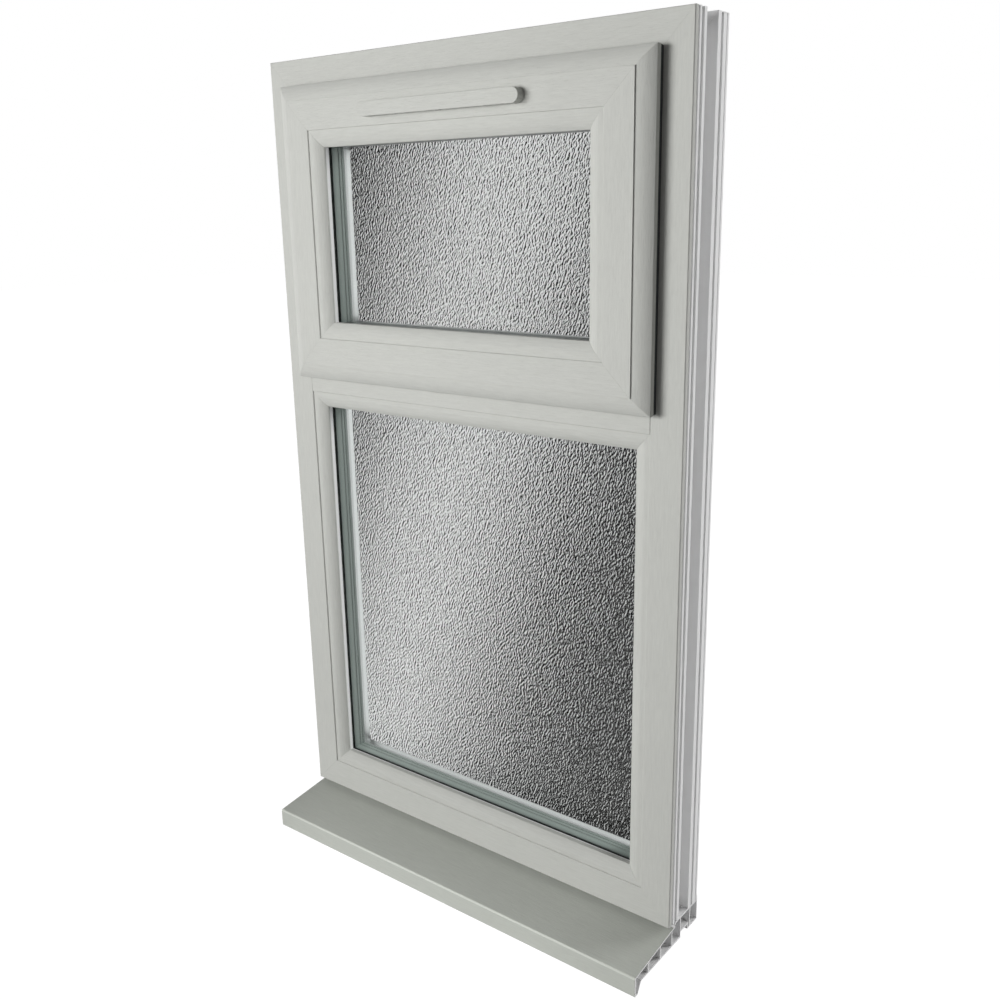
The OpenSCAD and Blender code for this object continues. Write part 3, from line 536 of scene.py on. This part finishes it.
def spacer_finish(light):
    """Drawn bar: a teal band with fine lines at the front, a satin metal strip at the back, and painted light
    and shade on its faces that look up and down.
    """
    glazing = settings().glazing
    finish = Finish(f"{light}_spacer", IOR=1.5)
    place = finish.place()
    lines = finish.noise(finish.stretch(place, (60.0, 1500.0, 60.0)), detail=2.0)
    low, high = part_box(f"{light}_spacers")
    across = (finish.split(place)[1] - low.y) / (high.y - low.y)
    strip = across.step(STRIP_START - 0.005, STRIP_START + 0.005)
    stops = [(spot, shaded(glazing.spacer, level)) for spot, level in BAND_LEVELS]
    stops += [(spot, shaded(glazing.strip, level)) for spot, level in STRIP_LEVELS]
    ramp = finish.add("ShaderNodeValToRGB", {"stops": stops}, {0: across})
    # Painted light and shade: the colour of faces that look up and down is scaled by how they face
    up_band, up_strip, down = FACING_PAINTED_LIGHT[light]
    normal_z = finish.normal()[2]
    upward, downward = normal_z.step(0.3, 0.9), (-normal_z).step(0.3, 0.9)
    level = 1 + upward * (up_band - 1 + strip * (up_strip - up_band)) + downward * (down - 1)
    grain = finish.blend(lines, (0.92, 0.92, 0.92), (1.0, 1.0, 1.0))
    paint = finish.blend(1.0, ramp, level, "MULTIPLY")
    finish.feed("Base Color", finish.blend(1.0, paint, grain, "MULTIPLY"))
    finish.feed("Metallic", strip * 0.75)
    finish.feed("Roughness", 0.32 + strip * 0.1 + (lines - 0.5) * 0.2)
    finish.bump(lines, 0.05 * MM, 0.4, 0.3 * MM)
    return finish


def stipple(columns, rows, step, size, seed):
    """A field of random bumps of a usual size, with a spread of 1."""
    draw = np.random.default_rng(seed).standard_normal((rows, columns))
    across = np.fft.fftfreq(columns, step)[None, :]
    up = np.fft.fftfreq(rows, step)[:, None]
    waves = 2 * math.pi * np.hypot(across, up) * size
    field = np.real(np.fft.ifft2(np.fft.fft2(draw) * np.exp(-waves ** 2 / 2)))
    return field / field.std()


def stippled_pane(name, node, seed):
    """A pane with bumps on its outer face and a plain room side face, in the place of its CAD node."""
    glazing = settings().glazing
    low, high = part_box(node)
    columns = round((high.x - low.x) / glazing.step) + 1
    rows = round((high.z - low.z) / glazing.step) + 1
    xs = np.linspace(low.x, high.x, columns)
    zs = np.linspace(low.z, high.z, rows)
    field = stipple(columns, rows, glazing.step, glazing.size, seed)
    margin = np.minimum(np.minimum(xs - low.x, high.x - xs)[None, :],
                        np.minimum(zs - low.z, high.z - zs)[:, None])
    plain_edge, fade_width = 10 * MM, 4 * MM
    fade = np.clip((margin - plain_edge) / fade_width, 0, 1)
    depth = glazing.relief * (0.5 - 0.5 * np.tanh(field * 0.7)) * fade
    slope_z, slope_x = np.gradient(depth, glazing.step)
    # Painted shade of each facet, from how far it slants one way
    painted_facet_shade = slope_x * 0.8 - slope_z * 0.6
    painted_facet_shade = painted_facet_shade / painted_facet_shade.std()

    across, up = np.meshgrid(xs, zs)
    front = np.stack([across, low.y + depth, up], axis=-1).reshape(-1, 3)
    count = rows * columns
    index = np.arange(count).reshape(rows, columns)
    corners = [index[:-1, :-1], index[:-1, 1:], index[1:, 1:], index[1:, :-1]]
    quads = np.stack(corners, axis=-1).reshape(-1, 4)
    rim = np.concatenate([index[0, :-1], index[:-1, -1], index[-1, :0:-1], index[:0:-1, 0]])
    back = front[rim].copy()
    back[:, 1] = high.y
    behind = count + np.arange(len(rim))
    walls = np.stack([np.roll(rim, -1), rim, behind, np.roll(behind, -1)], axis=-1)
    faces = quads.tolist() + walls.tolist() + [behind[::-1].tolist()]

    mesh = bpy.data.meshes.new(name)
    mesh.from_pydata(np.concatenate([front, back]).tolist(), [], faces)
    smooth = np.zeros(len(faces), dtype=bool)
    smooth[:len(quads)] = True
    mesh.polygons.foreach_set("use_smooth", smooth)
    # The stipple attribute carries the painted shade of the facets
    values = mesh.attributes.new("stipple", "FLOAT", "POINT")
    painted_facet_shades = np.concatenate([painted_facet_shade.ravel(), np.zeros(len(rim))])
    values.data.foreach_set("value", painted_facet_shades.astype(np.float32))
    mesh.update()
    return link_mesh(name, mesh)


class WINDOW_OT_frame_foil(bpy.types.Operator):
    """Foil and plastic on the outer frame and the transom"""
    bl_idname = "window.frame_foil"
    bl_label = "Frame foil"

    def execute(self, context):
        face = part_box("frame_head")[0].y
        edge = face + settings().foil.wrap
        around = face_rectangle("frame_left_jamb", "frame_right_jamb")
        dress(foil_finish("frame_foil_level", "X", edge, around), "frame_head", "frame_bottom_rail")
        dress(foil_finish("frame_foil_upright", "Z", edge, around), "frame_left_jamb", "frame_right_jamb")
        dress(foil_finish("transom_foil", "X", edge), "transom")
        return {"FINISHED"}


class WINDOW_OT_sash_foil(bpy.types.Operator):
    """Foil and plastic on the sash"""
    bl_idname = "window.sash_foil"
    bl_label = "Sash foil"

    def execute(self, context):
        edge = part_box("sash_seal")[0].y + 0.2 * MM
        around = face_rectangle("sash_left_stile", "sash_right_stile")
        dress(foil_finish("sash_foil_level", "X", edge, around), "sash_top_rail", "sash_bottom_rail")
        dress(foil_finish("sash_foil_upright", "Z", edge, around), "sash_left_stile", "sash_right_stile")
        return {"FINISHED"}


class WINDOW_OT_bead_foil(bpy.types.Operator):
    """Foil on the glazing beads of both lights"""
    bl_idname = "window.bead_foil"
    bl_label = "Bead foil"

    def execute(self, context):
        for light, _ in LIGHTS:
            level = [f"{light}_bead_top", f"{light}_bead_bottom"]
            upright = [f"{light}_bead_left", f"{light}_bead_right"]
            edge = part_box(level[0])[0].y + settings().foil.bead_wrap
            around = face_rectangle(*upright)
            dress(foil_finish(f"{light}_bead_foil_level", "X", edge + LEVEL_BEAD_WRAP, around), *level)
            dress(foil_finish(f"{light}_bead_foil_upright", "Z", edge, around), *upright)
        return {"FINISHED"}


class WINDOW_OT_cill_foil(bpy.types.Operator):
    """Foil on the cill, bare plastic at its cut ends and below"""
    bl_idname = "window.cill_foil"
    bl_label = "Cill foil"

    def execute(self, context):
        under_frame = 12 * MM
        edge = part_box("frame_bottom_rail")[0].y + under_frame
        # Darker cill foil colour: partly its own tone, partly painted shade for the cill's dim top
        colour = settings().foil.cill
        shape = (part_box("cill")[0].y, CILL_TOP, CILL_FALL)
        dress(foil_finish("cill_foil", "X", edge, colour=colour, cill=shape), "cill")
        return {"FINISHED"}


class WINDOW_OT_obscure_panes(bpy.types.Operator):
    """Stippled panes on the room side of both glass units"""
    bl_idname = "window.obscure_panes"
    bl_label = "Obscure panes"

    def execute(self, context):
        finish = obscure_finish()
        seed = settings().glazing.seed
        for number, (light, body) in enumerate(LIGHTS):
            node = f"{light}_obscure_pane"
            pane = stippled_pane(f"{light}_stippled_glass", node, seed + number)
            pane.visible_shadow = False
            pane.visible_diffuse = False
            pane.visible_glossy = False
            stand_in(pane, finish, node, body)
        return {"FINISHED"}


class WINDOW_OT_clear_panes(bpy.types.Operator):
    """Clear panes of both glass units"""
    bl_idname = "window.clear_panes"
    bl_label = "Clear panes"

    def execute(self, context):
        finish = clear_finish()
        for light, _ in LIGHTS:
            dress(finish, f"{light}_outer_pane", f"{light}_middle_pane")
        return {"FINISHED"}


def ring_loft(name, rings, around=False):
    """A closed mesh through rings of equally many points: flat end faces, or back round to the first ring."""
    smooth_angle = math.radians(40)
    count = len(rings[0])
    points = [point for ring in rings for point in ring]
    pairs = list(zip(range(len(rings) - 1), range(1, len(rings))))
    faces = []
    if around:
        pairs.append((len(rings) - 1, 0))
    else:
        faces = [list(range(count))[::-1], list(range(len(points) - count, len(points)))]
    for first, second in pairs:
        for i in range(count):
            j = (i + 1) % count
            faces.append([first * count + i, first * count + j, second * count + j, second * count + i])
    mesh = bpy.data.meshes.new(name)
    mesh.from_pydata(points, [], faces)
    made = bmesh.new()
    made.from_mesh(mesh)
    bmesh.ops.recalc_face_normals(made, faces=made.faces)
    for face in made.faces:
        face.smooth = True
    for edge in made.edges:
        edge.smooth = edge.calc_face_angle(0.0) < smooth_angle
    made.to_mesh(mesh)
    made.free()
    return link_mesh(name, mesh)


def spacer_bar(name, node, wide, grooves):
    """A one-piece spacer bar round a glass unit, grooved along its face, that holds the middle pane."""
    low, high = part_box(node)
    half_width, groove_depth = 0.5 * MM, 0.7 * MM
    section = [(0.0, low.y), (wide, low.y)]
    for spot in grooves:
        middle = low.y + spot * (high.y - low.y)
        section += [(wide, middle - half_width), (wide - groove_depth, middle), (wide, middle + half_width)]
    section += [(wide, high.y), (0.0, high.y)]
    rings = []
    for inset, y in section:
        left, right = low.x + inset, high.x - inset
        foot, head = low.z + inset, high.z - inset
        rings.append([(left, y, foot), (right, y, foot), (right, y, head), (left, y, head)])
    return ring_loft(name, rings, around=True)


class WINDOW_OT_spacers(bpy.types.Operator):
    """One grooved spacer bar round each glass unit, with a teal band at the front and a pale strip behind"""
    bl_idname = "window.spacers"
    bl_label = "Spacers"

    def execute(self, context):
        wide = settings().glazing.bar
        for light, body in LIGHTS:
            node = f"{light}_spacers"
            piece = spacer_bar(f"{light}_spacer_bar", node, wide, BAR_GROOVES)
            stand_in(piece, spacer_finish(light), node, body)
        return {"FINISHED"}


class WINDOW_OT_seals(bpy.types.Operator):
    """Black seals, gaskets and edge sealant"""
    bl_idname = "window.seals"
    bl_label = "Seals"

    def execute(self, context):
        names = ["frame_seal", "sash_seal"]
        for light, _ in LIGHTS:
            names += [f"{light}_edge_seal", f"{light}_outer_gasket", f"{light}_inner_gasket"]
        dress(plastic_finish("seal_rubber", settings().hardware.rubber, 0.55, 0.05 * MM, 0.5 * MM), *names)
        return {"FINISHED"}


class WINDOW_OT_stays(bpy.types.Operator):
    """Friction stays, their sliders and screws"""
    bl_idname = "window.stays"
    bl_label = "Stays"

    def execute(self, context):
        hardware = settings().hardware
        names = ["stay_links"]
        for side in ("left", "right"):
            names += [f"stay_track_{side}", f"long_arm_{side}", f"short_arm_{side}", f"sash_bar_{side}"]
        dress(steel_finish("stay_steel", hardware.steel), *names)
        screws = steel_finish("screw_zinc", hardware.zinc, (700.0, 700.0, 700.0), 0.32)
        dress(screws, "frame_screws", "sash_screws")
        black = plastic_finish("slider_plastic", hardware.black, 0.4)
        dress(black, "stay_sliders", "lower_packers", "upper_packers")
        return {"FINISHED"}


def lever_piece():
    """Cranked handle lever: a round neck that bends up into a flat tapered grip."""
    low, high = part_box("handle_lever")
    radius = high.x
    axis_z = low.z + radius
    thick, bend, tip, thinner = 5.5 * MM, 7 * MM, 7 * MM, 0.8 * MM
    waist = 0.78
    grip_y = high.y - thick
    neck_end = grip_y - bend
    top = high.z
    stations = []
    for t in np.linspace(0, 1, 5):
        y = low.y + t * (neck_end - low.y)
        stations.append((y, axis_z, 0.0, radius, radius * (1 - (1 - waist) * t ** 2)))
    for t in np.linspace(0, 1, 9)[1:]:
        angle = t * math.pi / 2
        y = neck_end + bend * math.sin(angle)
        z = axis_z + bend * (1 - math.cos(angle))
        stations.append((y, z, angle, radius, radius * waist + t * (thick - radius * waist)))
    start = axis_z + bend
    for t in np.linspace(0, 1, 16)[1:]:
        z = start + t * (top - tip - start)
        swell = 1 - 0.10 * math.sin(math.pi * t) - 0.06 * t
        stations.append((grip_y + thinner * t, z, math.pi / 2, radius * swell, thick - thinner * t))
    last_y, last_z, upright, last_half, last_depth = stations[-1]
    for t in np.linspace(0, 1, 9)[1:-1]:
        shrink = math.sqrt(1 - t ** 2)
        stations.append((last_y, last_z + tip * t, upright, last_half * shrink, last_depth * shrink))
    stations.append((last_y, top, upright, last_half * 0.05, last_depth * 0.05))
    sides, flatter = 32, 0.8
    rings = []
    for y, z, angle, half, depth in stations:
        ring = []
        for i in range(sides):
            turn = 2 * math.pi * i / sides
            cosine, sine = math.cos(turn), math.sin(turn)
            across = half * math.copysign(abs(cosine) ** flatter, cosine)
            out = depth * math.copysign(abs(sine) ** flatter, sine)
            ring.append((across, y + out * math.sin(angle), z - out * math.cos(angle)))
        rings.append(ring)
    return ring_loft("handle_grip", rings)


def stadium_plate(name, node, fillet, bore):
    """A bored plate with half round ends and a rounded front edge, in the place of its CAD node."""
    low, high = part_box(node)
    radius = (high.z - low.z) / 2
    centre = high.x - radius
    middle = (low.z + high.z) / 2
    levels = [(low.y, 0.0), (high.y - fillet, 0.0)]
    for step in range(1, 7):
        angle = step * math.pi / 12
        levels.append((high.y - fillet * (1 - math.sin(angle)), fillet * (1 - math.cos(angle))))
    rings = []
    for y, inset in levels:
        ring = []
        for side in (1, -1):
            for i in range(17):
                turn = -math.pi / 2 + math.pi * i / 16
                ring.append((side * (centre + (radius - inset) * math.cos(turn)), y,
                             middle + side * (radius - inset) * math.sin(turn)))
        rings.append(ring)
    for y in (high.y, low.y):
        turns = [-math.pi / 2 + math.pi * (i + 0.5) / 17 for i in range(34)]
        rings.append([(bore * math.cos(turn), y, middle + bore * math.sin(turn)) for turn in turns])
    return ring_loft(name, rings, around=True)


class WINDOW_OT_lock(bpy.types.Operator):
    """Lock case, drive rail, keeps, spindle and handle"""
    bl_idname = "window.lock"
    bl_label = "Lock and handle"

    def execute(self, context):
        hardware = settings().hardware
        lengthways = (18.0, 900.0, 900.0)
        dress(steel_finish("lock_steel", hardware.steel, lengthways), "lock_keeps", "lock_case")
        dress(steel_finish("rail_zinc", hardware.zinc, lengthways, 0.35), "drive_rail", "gear_spindle")
        coat = plastic_finish("handle_coat", hardware.white, 0.3, 0.04 * MM)
        plate = stadium_plate("handle_plate", "handle_base", 3.5 * MM, 8.2 * MM)
        stand_in(plate, coat, "handle_base", "sash")
        stand_in(lever_piece(), coat, "handle_lever", "handle")
        return {"FINISHED"}


class WINDOW_OT_reinforcement(bpy.types.Operator):
    """Galvanised steel inside the profiles"""
    bl_idname = "window.reinforcement"
    bl_label = "Reinforcement"

    def execute(self, context):
        zinc = settings().hardware.zinc
        finish = Finish("galvanised_steel", Metallic=1.0)
        place = finish.place()
        flakes = finish.add("ShaderNodeTexVoronoi", inputs={"Vector": place, "Scale": 140.0}, out="Color")
        grey = finish.split(flakes)[0]
        finish.feed("Base Color", finish.blend(grey, shaded(zinc, 0.7), shaded(zinc, 1.1)))
        finish.feed("Roughness", 0.35 + grey * 0.25)
        dress(finish, "frame_reinforcement", "sash_reinforcement")
        return {"FINISHED"}


class WINDOW_OT_vent(bpy.types.Operator):
    """Trickle vent: canopy outside, base and flap inside"""
    bl_idname = "window.vent"
    bl_label = "Trickle vent"

    def execute(self, context):
        past_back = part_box("vent_canopy")[1].y + 1 * MM
        dress(foil_finish("canopy_foil", "X", past_back), "vent_canopy")
        white = plastic_finish("vent_plastic", settings().hardware.white, 0.32)
        dress(white, "vent_base", "vent_flap")
        return {"FINISHED"}


CAMERA_PLACE = (0.8086, -0.9429, 0.8581)
CAMERA_RIGHT = Vector((0.79627, 0.604755, -0.01499))
CAMERA_UP = Vector((-0.150025, 0.221418, 0.96357))
CAMERA_LENS = 37.975
CAMERA_SHIFT = (-0.0108, 0.0008)
# Rays that show the background
SEEN_RAYS = ("Is Camera Ray", "Is Glossy Ray", "Is Transmission Ray")


def soft_lamp(name, place, target, size, power, kind="AREA"):
    """A lamp that faces a target: a square soft one, or a distant one."""
    lamp = bpy.data.lights.new(name, kind)
    if kind == "AREA":
        lamp.size = size
    lamp.energy = power
    holder = bpy.data.objects.new(name, lamp)
    holder.location = place
    holder.visible_camera = False
    holder.visible_glossy = False
    holder.visible_transmission = False
    holder.rotation_euler = (Vector(target) - Vector(place)).to_track_quat("-Z", "Y").to_euler()
    bpy.context.scene.collection.objects.link(holder)
    return holder


def light_only(lamp, name, objects, state):
    """Lets a lamp light these objects alone, or all but these."""
    group = bpy.data.collections.new(name)
    for item in objects:
        group.objects.link(item)
    for link in group.collection_objects:
        link.light_linking.link_state = state
    lamp.light_linking.receiver_collection = group


def stage_camera(scene):
    """The camera at the viewing angle of the photograph."""
    camera = bpy.data.cameras.new("camera")
    camera.lens = CAMERA_LENS
    camera.sensor_width = 36
    camera.shift_x, camera.shift_y = CAMERA_SHIFT
    holder = bpy.data.objects.new("camera", camera)
    back = CAMERA_RIGHT.cross(CAMERA_UP)
    turn = Matrix((CAMERA_RIGHT, CAMERA_UP, back)).transposed()
    holder.matrix_world = Matrix.Translation(CAMERA_PLACE) @ turn.to_4x4()
    scene.collection.objects.link(holder)
    scene.camera = holder


def stage_lamps(stage):
    """Soft lamps round the window; the stippled panes get an even light of their own."""
    key = soft_lamp("key_lamp", (-4.47, -6.63, 1.2), (0, 0, 0.6), 3.0, stage.key)
    front = soft_lamp("front_lamp", (-0.14, -1.0, 0.86), (0, 0, 0.75), 0.3, stage.front)
    strip = soft_lamp("cill_lamp", (0, -0.35, 0.5), (0, -0.1, 0), 0.6, stage.cill).data
    strip.shape = "RECTANGLE"
    strip.size_y = 0.05
    strip.spread = math.radians(34)
    even = soft_lamp("pane_lamp", (0, -3, 0.6), (0, 0, 0.6), 0, stage.panes, "SUN")
    even.data.use_shadow = False
    panes = [bpy.data.objects[f"{light}_stippled_glass"] for light, _ in LIGHTS]
    light_only(even, "panes_lit_evenly", panes, "INCLUDE")
    light_only(key, "panes_off_key", panes, "EXCLUDE")
    light_only(front, "panes_off_front", panes, "EXCLUDE")
    soft_lamp("fill_lamp", (2.2, 2.6, 1.3), (0, 0, 0.5), 1.6, stage.fill)


def stage_world(scene, ambient):
    """White where it is seen, and a faint even light from all round."""
    world = bpy.data.worlds.new("studio")
    world.use_nodes = True
    scene.world = world
    background = world.node_tree.nodes["Background"]
    background.inputs["Color"].default_value = (1, 1, 1, 1)
    level = ambient + Nodes(world.node_tree).rays(*SEEN_RAYS) * (1.0 - ambient)
    world.node_tree.links.new(level.socket, background.inputs["Strength"])


def stage_floor(shadow):
    """A white floor that keeps a share of the window's shadow."""
    finish = Finish("floor_white", Base_Color=(0.55, 0.55, 0.55, 1), Roughness=0.9)
    glow = finish.add("ShaderNodeEmission", inputs={"Strength": 1.2})
    finish.mix_in(finish.rays(*SEEN_RAYS) * (1.0 - shadow), glow)
    mesh = bpy.data.meshes.new("floor")
    reach, level = 12.0, CAD_BOX[0].z - 0.5 * MM
    corners = [(-reach, -reach, level), (reach, -reach, level), (reach, reach, level), (-reach, reach, level)]
    mesh.from_pydata(corners, [], [(0, 1, 2, 3)])
    mesh.materials.append(finish.material)
    link_mesh("floor", mesh)


class WINDOW_OT_stage(bpy.types.Operator):
    """White floor, soft lamps and the camera"""
    bl_idname = "window.stage"
    bl_label = "Stage"

    def execute(self, context):
        stage = settings().stage
        scene = context.scene
        scene.view_settings.view_transform = "Standard"
        stage_camera(scene)
        stage_lamps(stage)
        stage_world(scene, stage.ambient)
        stage_floor(stage.shadow)
        return {"FINISHED"}


OPERATORS = (
    WINDOW_OT_frame_foil, WINDOW_OT_sash_foil, WINDOW_OT_bead_foil, WINDOW_OT_cill_foil,
    WINDOW_OT_obscure_panes, WINDOW_OT_clear_panes, WINDOW_OT_spacers, WINDOW_OT_seals,
    WINDOW_OT_stays, WINDOW_OT_lock, WINDOW_OT_reinforcement, WINDOW_OT_vent, WINDOW_OT_stage,
)


class WINDOW_PT_panel(bpy.types.Panel):
    """Lists the steps of the window"""
    bl_idname = "WINDOW_PT_panel"
    bl_label = "Top-hung window"
    bl_space_type = "VIEW_3D"
    bl_region_type = "UI"
    bl_category = "Window"

    def draw(self, context):
        for operator in OPERATORS:
            self.layout.operator(operator.bl_idname)


CLASSES = (FoilSettings, GlazingSettings, HardwareSettings, StageSettings, WindowSettings,
           *OPERATORS, WINDOW_PT_panel)


def register():
    for item in CLASSES:
        bpy.utils.register_class(item)
    bpy.types.Scene.top_hung_window = PointerProperty(type=WindowSettings)


def unregister():
    del bpy.types.Scene.top_hung_window
    for item in reversed(CLASSES):
        bpy.utils.unregister_class(item)


def main():
    register()
    for operator in OPERATORS:
        group, name = operator.bl_idname.split(".")
        getattr(getattr(bpy.ops, group), name)()


if __name__ == "__main__":
    main()
